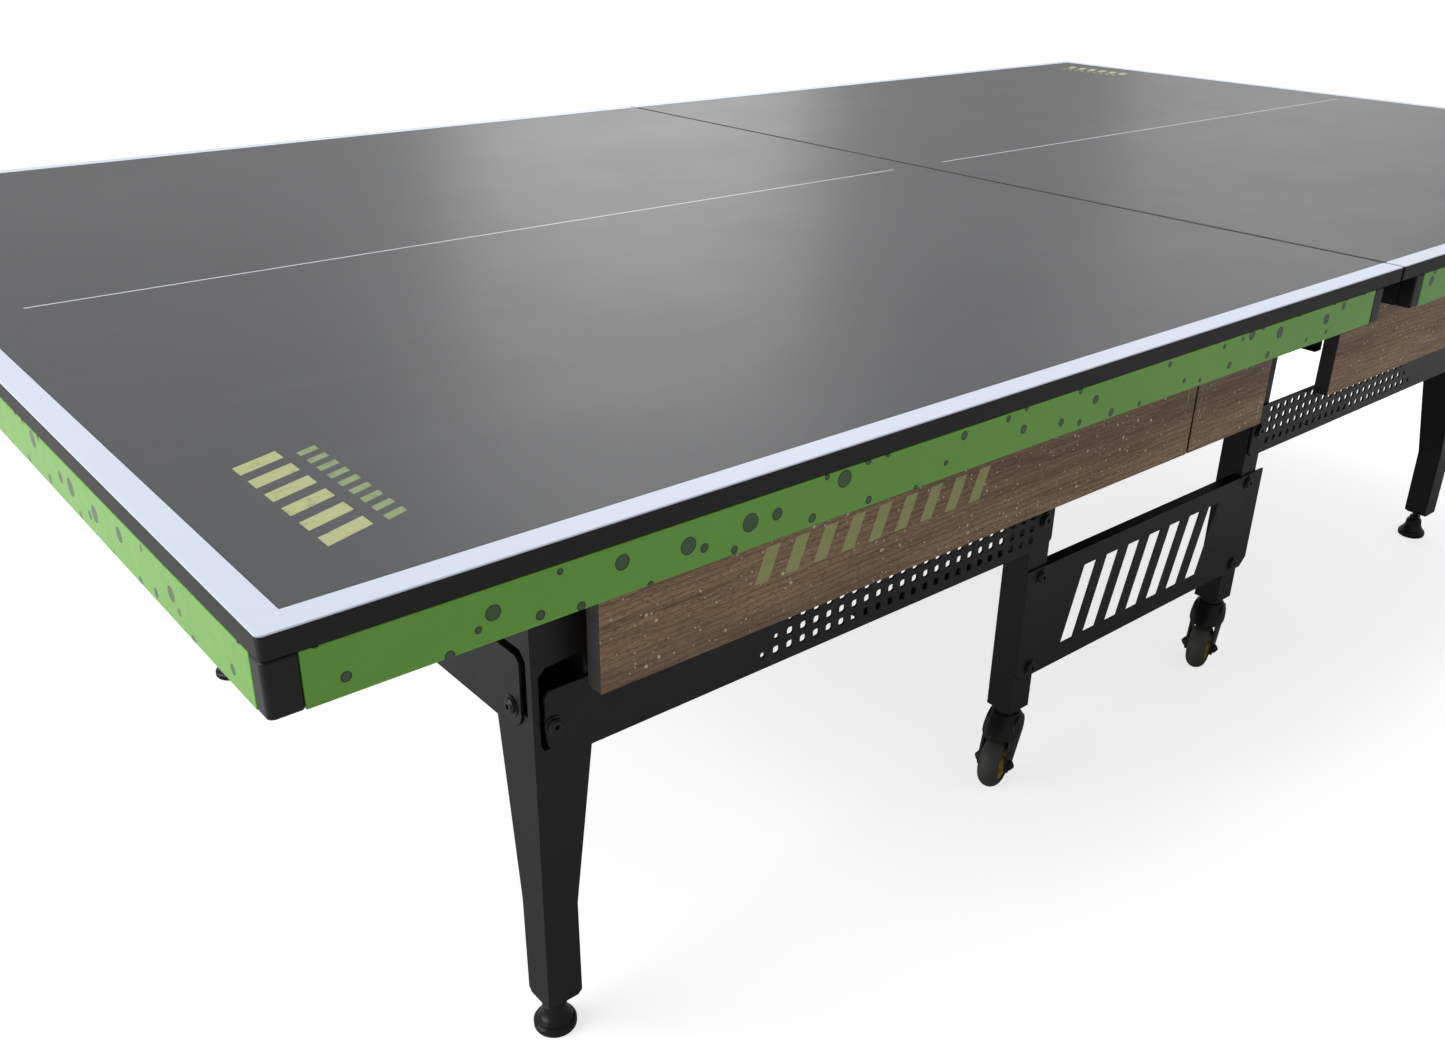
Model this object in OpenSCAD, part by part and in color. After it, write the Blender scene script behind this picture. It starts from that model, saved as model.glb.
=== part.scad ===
// Rollaway table tennis table: two folding halves on a central wheeled carriage.
// The origin is on the floor under the middle of the net line, X runs along the table
// and Z points up. Half "a" lies on -X and half "b" is the same half turned about Z.
// "near" is the -Y side of the table and "far" is the +Y side.

/* [Playing top] */
// Length of the whole playing surface
top_l = 2740; // [2700:5:2780]
// Width of the playing surface
top_w = 1525; // [1480:5:1600]
// Height of the playing surface above the floor
top_z = 760; // [756:0.5:764]
// Thickness of each top board
board_t = 18; // [16:0.5:18]
// Gap between the two boards along the net line
net_gap = 5; // [5:0.5:8]

/* [Apron] */
// Height of the rails under the board edge
apron_h = 40; // [30:1:50]
// Thickness of the rails
apron_t = 18; // [12:1:25]
// Length of the black corner blocks along the side
corner_l = 23; // [18:1:40]
// Radius of the upright edges at the corners of the table
corner_r = 5; // [2:0.5:8]
// Distance from the net line to the end of the apron
net_setback = 40; // [30:1:60]

/* [Fold mechanism] */
// Distance of the fold hinges from the net line
fold_x = 223; // [220:1:228]
// Height of the fold and leg hinge pins above the floor
fold_z = 728; // [725:0.5:729]
// Distance between fold hinge and leg hinge along the table
link_l = 756; // [740:1:765]
// How far the lower pivots sit outboard of the upper ones
pivot_dx = 35; // [33:0.5:37]
// Height of the side beam pivots above the floor
pivot_z = 412; // [400:1:416]
// Radius of all the hinge pins
pin_r = 4; // [3:0.5:5]

/* [Side beams] */
// Distance of the beams' outer face from the table's centre line
side_y = 498; // [490:1:505]
// Height of a side beam
beam_h = 80; // [70:1:84]
// Thickness of all folded sheet metal
sheet_t = 3; // [2:0.5:3]
// Columns of square holes in a side beam
hole_cols = 24; // [4:1:26]
// Rows of square holes in a side beam
hole_rows = 4; // [1:1:4]
// Width of a square hole
hole_w = 9.5; // [5:0.5:12]

/* [Legs] */
// Distance of the legs' outer face from the net line
leg_x = 1035; // [1030:1:1040]
// Width of the leg's side face below the taper
leg_foot_w = 43; // [41:1:50]
// Width of the leg's end face below the taper
leg_end_w = 40; // [38:1:50]
// Width of the leg's end face at the end beam
leg_knee_w = 68; // [64:1:88]
// Height of the leg's bottom edge above the floor
leg_bottom = 52; // [45:1:60]
// Adjusting travel of a levelling foot
foot_travel = 8; // [2:1:8]

/* [Carriage] */
// Distance of the posts' outer face from the table's centre line
post_y = 494; // [486:1:501]
// Side of the square posts
post_w = 40; // [36:1:42]
// Height of the lower end of the posts
post_bottom = 118; // [112:1:124]
// Height of the lower edge of the side panels
panel_z = 172; // [160:1:176]
// Height of a side panel
panel_h = 168; // [120:1:174]
// Slanted slots in a side panel
slot_count = 7; // [3:1:8]

/* [Casters] */
// Radius of the caster wheels
wheel_r = 38; // [30:1:40]
// Width of the caster tyres
tyre_w = 30; // [24:1:32]
// Distance from the swivel axis back to the axle
trail = 27; // [20:1:32]
// Direction in which the casters trail at rest
caster_turn = 18; // [-180:1:180]

/* [Planks] */
// Thickness of the wooden planks
plank_t = 22; // [16:1:24]
// Lower edge of the planks above the floor
plank_z = 450; // [440:1:455]
// Height of the planks
plank_h = 210; // [150:5:220]

/* [Hidden] */
$fn = 48;

half_w = top_w / 2;
board_z = top_z - board_t;               // underside of the boards
apron_z = board_z - apron_h;             // lower edge of the apron
fit = 0.06;                              // running clearance of a pin in its hole
open_fit = 0.4;                          // clearance of the pivot that closes the linkage

leg_hinge_x = -(fold_x + link_l);        // upper hinge of the legs, half a
post_pivot_x = -(fold_x + pivot_dx);     // lower pivot on the posts, half a
leg_pivot_x = leg_hinge_x - pivot_dx;    // lower pivot on the legs, half a
beam_z = pivot_z - beam_h / 2;
beam_in = side_y - sheet_t;              // inner face of a side beam
leg_y = beam_in - 1;                     // outer face of a leg's side sheet
leg_w = leg_x + leg_hinge_x + 11;        // width of the leg's side face at the top
hole_pitch_x = 20;
hole_pitch_z = 17;
bolt_proud = 5.5;                        // height of a bolt head with its washer
plank_gap = 12;                          // clear space between the beams and the planks
plank_in = side_y + plank_gap;           // back face of the planks
plank_out = plank_in + plank_t;
plank_end_x = -981;                      // outer end of the planks, half a
plank_window = [-381, -188];             // opening between the two short planks
end_beam_z = 401;
end_beam_h = 86;
end_beam_half = 478;
end_bolt = [461, 426];                   // distance from the centre line, height
post_c = post_y - post_w / 2;            // centre line of the posts from the table's middle
foot_xy = [-(leg_x - leg_foot_w / 2 - 0.5), -(leg_y - 25)];
cross_tube_z = 600;

steel = [0.11, 0.11, 0.115];
green = [0.33, 0.53, 0.20];
wood = [0.45, 0.38, 0.33];
board_grey = [0.29, 0.30, 0.31];
tyre_grey = [0.24, 0.25, 0.24];
hub_yellow = [0.62, 0.55, 0.16];

// Turns a piece of half a into the same piece of half b.
module half(b) {
    rotate([0, 0, b ? 180 : 0]) children();
}

// Copies a piece drawn on the -Y side to the +Y side.
module side(far) {
    if (far) mirror([0, 1, 0]) children();
    else children();
}

// A flat sheet standing along X: the outline is X, Z and the outer face is at y = -outer.
module sheet_xz(outer, t = sheet_t) {
    translate([0, t - outer, 0]) rotate([90, 0, 0]) linear_extrude(t) children();
}

// A flat sheet standing along Y: the outline is Y, Z and the lower X face is at x.
module sheet_yz(x, t = sheet_t) {
    translate([x, 0, 0]) rotate([90, 0, 90]) linear_extrude(t) children();
}

// A bar between two corners given as lowest and highest point.
module bar(low, high) {
    translate(low) cube(high - low);
}

// A round rod along Y.
module rod_y(x, z, y0, y1, r) {
    translate([x, y0, z]) rotate([-90, 0, 0]) cylinder(r = r, h = y1 - y0);
}

// Points of a circular arc.
function arc(c, r, a0, a1, n = 8) =
    [for (i = [0:n]) let(a = a0 + (a1 - a0) * i / n) c + r * [cos(a), sin(a)]];

// Button head bolt with washer: it points along -Y, its washer lies on y = -face.
module bolt_y(x, z, face, grip) {
    translate([x, -face, z]) rotate([90, 0, 0]) difference() {
        union() {
            translate([0, 0, -grip]) cylinder(r = pin_r, h = grip + 2);
            cylinder(r = 11, h = 1.5);
            translate([0, 0, 1.5]) cylinder(r = 8.5, h = 1.6);
            translate([0, 0, 3.1]) cylinder(r1 = 8.5, r2 = 6, h = bolt_proud - 3.1);
        }
        translate([0, 0, 3]) cylinder(r = 3.2, h = 4, $fn = 6);
    }
}

// Nut on the inner end of a bolt, from y = -face inwards.
module nut_y(x, z, face, h = 6) {
    translate([x, h - face, z]) rotate([90, 0, 0]) difference() {
        cylinder(r = 7.5, h = h, $fn = 6);
        translate([0, 0, -1]) cylinder(r = pin_r, h = h + 2);
    }
}

// ---------------------------------------------------------------- playing halves

// Rounded corner of the table on the -X, -Y side, as points from the -X side to the -Y side.
corner_arc = arc([corner_r - top_l / 2, corner_r - half_w], corner_r, 180, 270);

module top_board(b) {
    far_arc = [for (i = [len(corner_arc) - 1:-1:0]) [corner_arc[i].x, -corner_arc[i].y]];
    color(board_grey) half(b) translate([0, 0, board_z]) linear_extrude(board_t)
        polygon(concat(corner_arc, [[-net_gap / 2, -half_w], [-net_gap / 2, half_w]], far_arc));
}

module side_rail(b, far) {
    color(green) half(b) side(far)
        bar([corner_l - top_l / 2, -half_w, apron_z],
            [-net_setback - apron_t - 2, apron_t - half_w, board_z]);
}

module end_rail(b) {
    y = half_w - apron_t;
    color(green) half(b)
        bar([-top_l / 2, -y, apron_z], [apron_t - top_l / 2, y, board_z]);
}

// Rail beside the net line, relieved over the posts and beams so that the half can fold.
module net_rail(b) {
    y = half_w - apron_t;
    x = [-net_setback - apron_t, -net_setback];
    color(steel) half(b) difference() {
        bar([x[0], -y, apron_z], [x[1], y, board_z]);
        for (s = [-1, 1])
            translate([x[0] - 1, s * (post_c + 1) - 29, apron_z - 1])
                cube([apron_t + 2, 58, apron_h - 2]);
    }
}

module corner_blocks(b) {
    color(steel) half(b) for (far = [false, true]) side(far) {
        translate([0, 0, apron_z]) linear_extrude(apron_h)
            polygon(concat(corner_arc, [[corner_l - top_l / 2, -half_w],
                                        [corner_l - top_l / 2, apron_t - half_w],
                                        [-top_l / 2, apron_t - half_w]]));
        bar([-net_setback - apron_t - 2, -half_w, apron_z],
            [-net_setback, apron_t - half_w, board_z]);
    }
}

// One plank piece between two X positions on the -Y side.
module plank_piece(x0, x1) {
    bar([x0, -plank_out, plank_z], [x1, -plank_in, plank_z + plank_h]);
}

// Each half has one full plank and, on the other side, two short ones with a window between.
module plank(b, full) {
    color(wood) half(b) {
        if (full) plank_piece(plank_end_x, -2);
        else mirror([0, 1, 0]) {
            plank_piece(plank_end_x, plank_window[0]);
            plank_piece(plank_window[1], -2);
        }
    }
}

// Flat hanger that carries a plank: 40 wide, with a rounded lower end.
module hanger(x, low = plank_z + 15) {
    w = 40;
    sheet_xz(plank_in) polygon(concat(
        [[x, board_z], [x, low + w / 2]],
        arc([x + w / 2, low + w / 2], w / 2, 180, 360),
        [[x + w, board_z]]));
    bar([x, -plank_in - 30, board_z - sheet_t], [x + w, sheet_t - plank_in, board_z]);
}

// Clevis of a fold hinge: two cheeks round the carriage's eye plate and a foot on the board.
module fold_clevis() {
    w = 12;
    for (y = [post_c + 7, post_c - 4])
        difference() {
            sheet_xz(y) union() {
                translate([-fold_x - w, fold_z]) square([2 * w, board_z - fold_z]);
                translate([-fold_x, fold_z]) circle(9);
            }
            rod_y(-fold_x, fold_z, -y - 1, -y + sheet_t + 1, pin_r + fit);
        }
    bar([-fold_x - w, -post_c - 14, board_z - 2], [-fold_x + w, -post_c + 14, board_z]);
}

// Plate that carries a leg's upper hinge pin, with the pin fixed in it.
module leg_hinge() {
    w = 14;
    y = leg_y - sheet_t - 1;
    sheet_xz(y) union() {
        translate([leg_hinge_x - w, fold_z]) square([2 * w, board_z - fold_z]);
        translate([leg_hinge_x, fold_z]) circle(10);
    }
    bar([leg_hinge_x - w, -y, board_z - sheet_t], [leg_hinge_x + w, 28 - y, board_z]);
    rod_y(leg_hinge_x, fold_z, -leg_y - 1, -y + 6, pin_r);
    rod_y(leg_hinge_x, fold_z, -leg_y - 3, -leg_y - 0.5, 7);
}

module under_brackets(b) {
    full_hangers = [-930, -560, -100];
    short_hangers = [-930, -100];
    color(steel) half(b) {
        for (far = [false, true]) side(far) {
            fold_clevis();
            leg_hinge();
        }
        for (x = full_hangers) hanger(x);
        mirror([0, 1, 0]) {
            for (x = short_hangers) hanger(x);
            hanger(plank_window[0] - 44, plank_z - 12);
            hanger(plank_window[1] + 4, plank_z + 15);
        }
    }
}

// Deep folded sheet across the half, between the folded legs.
module cross_panel(b) {
    x = -590;
    y = 408;
    lip = 16;
    color(steel) half(b) {
        bar([x - sheet_t, -y, plank_z], [x, y, board_z]);
        bar([x, -y, plank_z], [x + lip, y, plank_z + sheet_t]);
        bar([x, -y, board_z - sheet_t], [x + lip, y, board_z]);
    }
}

// ---------------------------------------------------------------- side beams

// Square hole with clipped corners.
module square_hole(c, w = hole_w) {
    k = w * 0.5;
    q = w * 0.3;
    translate(c) polygon([[-k, -q], [-q, -k], [q, -k], [k, -q], [k, q], [q, k], [-q, k], [-k, q]]);
}

module beam_outline() {
    left = leg_pivot_x - 9;
    right = post_pivot_x + 18;
    hook = 30;
    polygon(concat(
        [[left, beam_z + beam_h - 6], [left, beam_z + hook]],
        arc([left + hook, beam_z + hook], hook, 195, 270),
        [[right - 8, beam_z], [right, beam_z + 8], [right, beam_z + beam_h - 8],
         [right - 8, beam_z + beam_h], [left + 6, beam_z + beam_h]]));
}

// Perforated drag link between a leg and a post, with an inward lip along its lower edge.
module side_beam(b, far) {
    last_x = post_pivot_x - 27;
    first_z = beam_z + 18;
    lip = [leg_pivot_x + pivot_z + 20, post_pivot_x - 47];    // swings past below the foot
    color(steel) half(b) side(far) {
        difference() {
            sheet_xz(side_y) difference() {
                beam_outline();
                for (row = [0:hole_rows - 1], col = [row:hole_cols - 1])
                    square_hole([last_x - (hole_cols - 1 - col) * hole_pitch_x,
                                 first_z + row * hole_pitch_z],
                                col == row ? hole_w * 0.7 : hole_w);
            }
            rod_y(post_pivot_x, pivot_z, -side_y - 1, -beam_in + 1, pin_r + fit);
            rod_y(leg_pivot_x, pivot_z, -side_y - 1, -beam_in + 1, pin_r + open_fit);
        }
        bar([lip[0], -beam_in, beam_z], [lip[1], 25 - beam_in, beam_z + sheet_t]);
    }
}

// ---------------------------------------------------------------- legs

// Outline of the leg's side sheet: X, Z.
module leg_side_outline() {
    x = -leg_x;
    polygon([[x, leg_bottom], [x + leg_foot_w - 5, leg_bottom], [x + leg_foot_w, leg_bottom + 5],
             [x + leg_foot_w - 1, 178], [x + leg_w, beam_z], [x + leg_w, fold_z],
             [leg_hinge_x, fold_z + 8], [x, fold_z + 8]]);
    translate([leg_hinge_x, fold_z]) circle(11);
}

// Hook-shaped opening in the side sheet, round the end of the side beam.
module leg_side_slot() {
    x = 8 - leg_x;
    top = beam_z + beam_h;
    polygon([[x, pivot_z - 22], [x + 4, pivot_z - 28], [x + 12, pivot_z - 28], [x + 15, top - 4],
             [x + 52, top - 4], [x + 52, top + 28], [x + 8, top + 24], [x, top + 16]]);
}

// Outline of the leg's end sheet: Y, Z on the -Y side.
module leg_end_outline() {
    y = -leg_y;
    polygon([[y, leg_bottom], [y + leg_end_w - 5, leg_bottom], [y + leg_end_w, leg_bottom + 5],
             [y + leg_end_w + 2, 178], [y + leg_knee_w, end_beam_z],
             [y + leg_knee_w, fold_z + 8], [y, fold_z + 8]]);
}

// Narrow bent slot in the end sheet, round the end of the end beam.
module leg_end_slot() {
    y = -end_beam_half;
    inner = leg_knee_w - leg_y - 4;
    low = end_bolt[1] - 4;
    top = end_beam_z + end_beam_h;
    polygon([[y - 7, low], [y + 5, low], [y + 8, top - 12], [inner, top - 12], [inner, top + 7],
             [y + 2, top + 7], [y - 7, top - 3]]);
}

// Space inside a box leg. Above its inner sheets the leg is open for the hinge plate.
module leg_inside() {
    t = sheet_t;
    x = -leg_x;
    y = -leg_y;
    low = leg_bottom + t;
    open_z = fold_z - 26;
    intersection() {
        sheet_xz(leg_y - t, 110)
            polygon([[x + t, low], [x + leg_foot_w - t, low], [x + leg_foot_w - 1 - t, 178],
                     [x + leg_w - t, beam_z], [x + leg_w - t, open_z + 5],
                     [x + t, open_z + 5]]);
        sheet_yz(x + t, 110)
            polygon([[y + t, low], [y + leg_end_w - t, low], [y + leg_end_w + 2 - t, 178],
                     [y + leg_knee_w - t, end_beam_z], [y + leg_knee_w - t, open_z + 5],
                     [y + t, open_z + 5]]);
    }
    bar([x + t, y + t, open_z], [x + 90, y + 100, fold_z + 20]);
}

// Tapered box leg with a plate and a nut for the foot in its lower end.
module leg(b, far) {
    color(steel) half(b) side(far) {
        difference() {
            union() {
                difference() {
                    intersection() {
                        sheet_xz(leg_y, 120) leg_side_outline();
                        sheet_yz(-leg_x, 120) leg_end_outline();
                    }
                    leg_inside();
                    sheet_xz(leg_y + 1, sheet_t + 2) leg_side_slot();
                    sheet_yz(-leg_x - 1, sheet_t + 2) leg_end_slot();
                }
                translate([foot_xy[0], foot_xy[1], leg_bottom + 1])
                    cylinder(r = 11, h = 13, $fn = 6);
            }
            rod_y(leg_hinge_x, fold_z, -leg_y - 1, -leg_y + sheet_t + 1, pin_r + fit);
            rod_y(leg_pivot_x, pivot_z, -leg_y - 1, -leg_y + sheet_t + 1, pin_r);
            translate([-leg_x - 1, -end_bolt[0], end_bolt[1]]) rotate([0, 90, 0])
                cylinder(r = pin_r, h = sheet_t + 2);
            translate([foot_xy[0], foot_xy[1], leg_bottom - 1])
                cylinder(r = 5 + fit, h = 20);
        }
    }
}

// Folded beam across the two legs of one half, in front of their end sheets.
module end_beam(b) {
    x = -leg_x - sheet_t;
    lip = 18;
    lip_half = leg_y - 95;
    z1 = end_beam_z + end_beam_h;
    color(steel) half(b) {
        difference() {
            sheet_yz(x) polygon(concat(
                arc([24 - end_beam_half, end_beam_z + 24], 24, 195, 270),
                arc([end_beam_half - 24, end_beam_z + 24], 24, 270, 345),
                [[end_beam_half, z1 - 6], [end_beam_half - 6, z1],
                 [6 - end_beam_half, z1], [-end_beam_half, z1 - 6]]));
            for (s = [-1, 1])
                translate([x - 1, s * end_bolt[0], end_bolt[1]]) rotate([0, 90, 0])
                    cylinder(r = pin_r, h = sheet_t + 2);
        }
        for (z = [end_beam_z, z1 - sheet_t])
            bar([-leg_x, -lip_half, z], [lip - leg_x, lip_half, z + sheet_t]);
    }
}

// Pivot bolts of the side beams and the bolts of the end beam, with their nuts.
module leg_bolts(b) {
    color(steel) half(b) for (far = [false, true]) side(far) {
        bolt_y(leg_pivot_x, pivot_z, side_y, 16);
        nut_y(leg_pivot_x, pivot_z, leg_y - sheet_t);
        translate([-leg_x - sheet_t, -end_bolt[0], end_bolt[1]]) rotate([0, 0, -90]) {
            bolt_y(0, 0, 0, 14);
            nut_y(0, 0, -2 * sheet_t);
        }
    }
}

// Levelling foot: a round pad with a stud that screws into the leg.
module foot(b, far) {
    color(steel) half(b) side(far) translate([foot_xy[0], foot_xy[1], 0]) rotate_extrude()
        polygon(concat(
            [[0, 0], [21, 0]],
            arc([20, 4], 4, -80, 0, 4),
            [[24, 9], [22.5, 11.5], [20, 13]],
            [[18, 17], [16, 20], [14.5, 23], [13.5, 33], [11.5, 36], [5, 36],
             [5, leg_bottom + 32 + foot_travel], [0, leg_bottom + 32 + foot_travel]]));
}

// ---------------------------------------------------------------- carriage

// Square tube post with an end plug for the caster and an eye plate for the fold hinge.
module post(b, far) {
    wall = 2;
    top = 690;
    x = post_pivot_x - post_w / 2;
    y = -post_y;
    plug_h = 30;
    color(steel) half(b) side(far) difference() {
        union() {
            difference() {
                bar([x, y, post_bottom], [x + post_w, y + post_w, top]);
                bar([x + wall, y + wall, post_bottom + plug_h],
                    [x + post_w - wall, y + post_w - wall, top - wall]);
            }
            sheet_xz(post_c + 2, 4) union() {
                translate([x + post_w, 640]) square([-fold_x + 9 - x - post_w, fold_z - 640]);
                translate([-fold_x, fold_z]) circle(9);
            }
        }
        translate([post_pivot_x, -post_c, post_bottom - 1])
            cylinder(r = 6 + fit, h = plug_h - 4);
        rod_y(post_pivot_x, pivot_z, y - 1, y + wall + 1, pin_r);
        rod_y(-fold_x, fold_z, -post_c - 3, -post_c + 3, pin_r);
    }
}

module cross_tube(b) {
    wall = 2;
    y = post_y - post_w;
    x = post_pivot_x - post_w / 2;
    color(steel) half(b) difference() {
        bar([x, -y, cross_tube_z], [x + post_w, y, cross_tube_z + post_w]);
        bar([x + wall, -y - 1, cross_tube_z + wall],
            [x + post_w - wall, y + 1, cross_tube_z + post_w - wall]);
    }
}

// One slanted slot of a side panel.
module slanted_slot(x, z, w, h, lean) {
    polygon([[x, z], [x + w, z], [x + w + lean, z + h], [x + lean, z + h]]);
}

panel_edges = [post_pivot_x - post_w / 2, 18 - post_pivot_x + post_w / 2];
panel_bolt_x = [post_pivot_x + 8, -post_pivot_x - 2];
panel_bolt_z = [panel_z + 14, panel_z + panel_h - 14];

module side_panel(far) {
    slot_w = 30;
    slot_pitch = 51;
    slot_lean = 33;
    lip = 14;
    lip_x = -post_pivot_x - post_w / 2 - 1;
    color(steel) half(far) {
        difference() {
            sheet_xz(post_y + sheet_t) difference() {
                polygon([[panel_edges[0], panel_z + 10], [panel_edges[0] + 10, panel_z],
                         [panel_edges[1] - 14, panel_z], [panel_edges[1], panel_z + 14],
                         [panel_edges[1], panel_z + panel_h], [panel_edges[0], panel_z + panel_h]]);
                for (i = [0:slot_count - 1])
                    slanted_slot(-186 + i * slot_pitch, panel_z + 27, slot_w, panel_h - 54,
                                 slot_lean);
            }
            for (x = panel_bolt_x, z = panel_bolt_z)
                rod_y(x, z, -post_y - sheet_t - 1, -post_y + 1, pin_r);
        }
        for (z = [panel_z, panel_z + panel_h - sheet_t])
            bar([-lip_x, -post_y, z], [lip_x, lip - post_y, z + sheet_t]);
    }
}

module panel_bolts() {
    color(steel) for (far = [false, true]) half(far)
        for (x = panel_bolt_x, z = panel_bolt_z)
            bolt_y(x, z, post_y + sheet_t, sheet_t);
}

module fold_hinge_pins() {
    color(steel) for (b = [false, true], far = [false, true]) half(b) side(far) {
        rod_y(-fold_x, fold_z, -post_c - 9, -post_c + 9, pin_r);
        rod_y(-fold_x, fold_z, -post_c - 10, -post_c - 7.5, 7);
        rod_y(-fold_x, fold_z, -post_c + 7.5, -post_c + 10, 7);
    }
}

module beam_pivot_bolts() {
    color(steel) for (b = [false, true], far = [false, true]) half(b) side(far)
        difference() {
            union() {
                rod_y(post_pivot_x, pivot_z, -side_y - 1, -post_y + 2, pin_r);
                rod_y(post_pivot_x, pivot_z, -side_y - 2, -side_y - 0.4, 11);
                rod_y(post_pivot_x, pivot_z, -side_y - 5, -side_y - 2, 8.5);
            }
            translate([post_pivot_x, -side_y - 3, pivot_z]) rotate([90, 0, 0])
                cylinder(r = 3.2, h = 4, $fn = 6);
        }
}

// ---------------------------------------------------------------- casters

// Places a caster drawn at the origin, trailing towards -X, under its post.
module at_caster(b, far) {
    x = b ? -post_pivot_x : post_pivot_x;
    translate([x, far ? post_c : -post_c, 0]) rotate([0, 0, caster_turn]) children();
}

// Cheek of the fork: a round top, a straight arm and a round axle boss.
module fork_cheek() {
    difference() {
        hull() {
            translate([-2, 86]) circle(22, $fn = 32);
            translate([-trail, wheel_r]) circle(12, $fn = 32);
        }
        translate([-trail - 30, -20]) square([60, 40]);
    }
}

module caster_fork(b, far) {
    cheek_in = tyre_w / 2 + 3;
    cheek_t = 3.5;
    color(steel) at_caster(b, far) {
        for (y = [-cheek_in, cheek_in + cheek_t])
            translate([0, y, 0]) rotate([90, 0, 0]) linear_extrude(cheek_t) fork_cheek();
        rotate_extrude() polygon([[0, 84], [23, 84], [24, 88], [24, 94], [21, 100], [16, 103],
                                  [16, post_bottom - 1], [6, post_bottom - 1],
                                  [6, post_bottom + 22], [0, post_bottom + 22]]);
        rod_y(-trail, wheel_r, -cheek_in - 6, cheek_in + 6, pin_r);
        for (s = [-1, 1])
            translate([-trail, s * (cheek_in + cheek_t + 1.5), wheel_r]) rotate([90, 0, 0])
                cylinder(r = 7, h = 3.6, center = true, $fn = 6);
        for (s = [-1, 1])
            translate([-trail, s * (cheek_in + cheek_t + 3), wheel_r]) sphere(r = 4.6);
    }
}

// Places a wheel drawn round Z at the origin on the caster's axle.
module on_axle(b, far) {
    at_caster(b, far) translate([-trail, 0, wheel_r]) rotate([90, 0, 0]) children();
}

hub_r = wheel_r - 14;

module caster_tyre(b, far) {
    color(tyre_grey) on_axle(b, far) rotate_extrude($fn = 96) intersection() {
        translate([wheel_r - tyre_w / 2, 0]) circle(tyre_w / 2);
        translate([hub_r, -tyre_w / 2]) square([tyre_w, tyre_w]);
    }
}

module caster_hub(b, far) {
    color(hub_yellow) on_axle(b, far) rotate_extrude($fn = 96)
        polygon([[pin_r + fit, -17], [9, -17], [10, -6], [17, -5], [19, -11], [hub_r, -12],
                 [hub_r, 12], [19, 11], [17, 5], [10, 6], [9, 17], [pin_r + fit, 17]]);
}

// ---------------------------------------------------------------- nodes

post(false, false);  // post_a_near
post(false, true);  // post_a_far
post(true, true);  // post_b_near
post(true, false);  // post_b_far
cross_tube(false);  // cross_tube_a
cross_tube(true);  // cross_tube_b
side_panel(false);  // side_panel_near
side_panel(true);  // side_panel_far
panel_bolts();
fold_hinge_pins();
beam_pivot_bolts();
caster_fork(false, false);  // caster_fork_a_near
caster_fork(false, true);  // caster_fork_a_far
caster_fork(true, false);  // caster_fork_b_near
caster_fork(true, true);  // caster_fork_b_far
caster_tyre(false, false);  // caster_tyre_a_near
caster_tyre(false, true);  // caster_tyre_a_far
caster_tyre(true, false);  // caster_tyre_b_near
caster_tyre(true, true);  // caster_tyre_b_far
caster_hub(false, false);  // caster_hub_a_near
caster_hub(false, true);  // caster_hub_a_far
caster_hub(true, false);  // caster_hub_b_near
caster_hub(true, true);  // caster_hub_b_far
top_board(false);  // top_board_a
top_board(true);  // top_board_b
side_rail(false, false);  // side_rail_a_near
side_rail(false, true);  // side_rail_a_far
side_rail(true, true);  // side_rail_b_near
side_rail(true, false);  // side_rail_b_far
end_rail(false);  // end_rail_a
end_rail(true);  // end_rail_b
net_rail(false);  // net_rail_a
net_rail(true);  // net_rail_b
corner_blocks(false);  // corner_blocks_a
corner_blocks(true);  // corner_blocks_b
plank(false, true);  // plank_a_near
plank(false, false);  // plank_a_far
plank(true, false);  // plank_b_near
plank(true, true);  // plank_b_far
under_brackets(false);  // under_brackets_a
under_brackets(true);  // under_brackets_b
cross_panel(false);  // cross_panel_a
cross_panel(true);  // cross_panel_b
side_beam(false, false);  // side_beam_a_near
side_beam(false, true);  // side_beam_a_far
side_beam(true, true);  // side_beam_b_near
side_beam(true, false);  // side_beam_b_far
leg(false, false);  // leg_a_near
leg(false, true);  // leg_a_far
leg(true, true);  // leg_b_near
leg(true, false);  // leg_b_far
end_beam(false);  // end_beam_a
end_beam(true);  // end_beam_b
leg_bolts(false);  // leg_bolts_a
leg_bolts(true);  // leg_bolts_b
foot(false, false);  // foot_a_near
foot(false, true);  // foot_a_far
foot(true, true);  // foot_b_near
foot(true, false);  // foot_b_far
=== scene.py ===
import math

import bmesh
import bpy
from mathutils import Matrix, Vector


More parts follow.
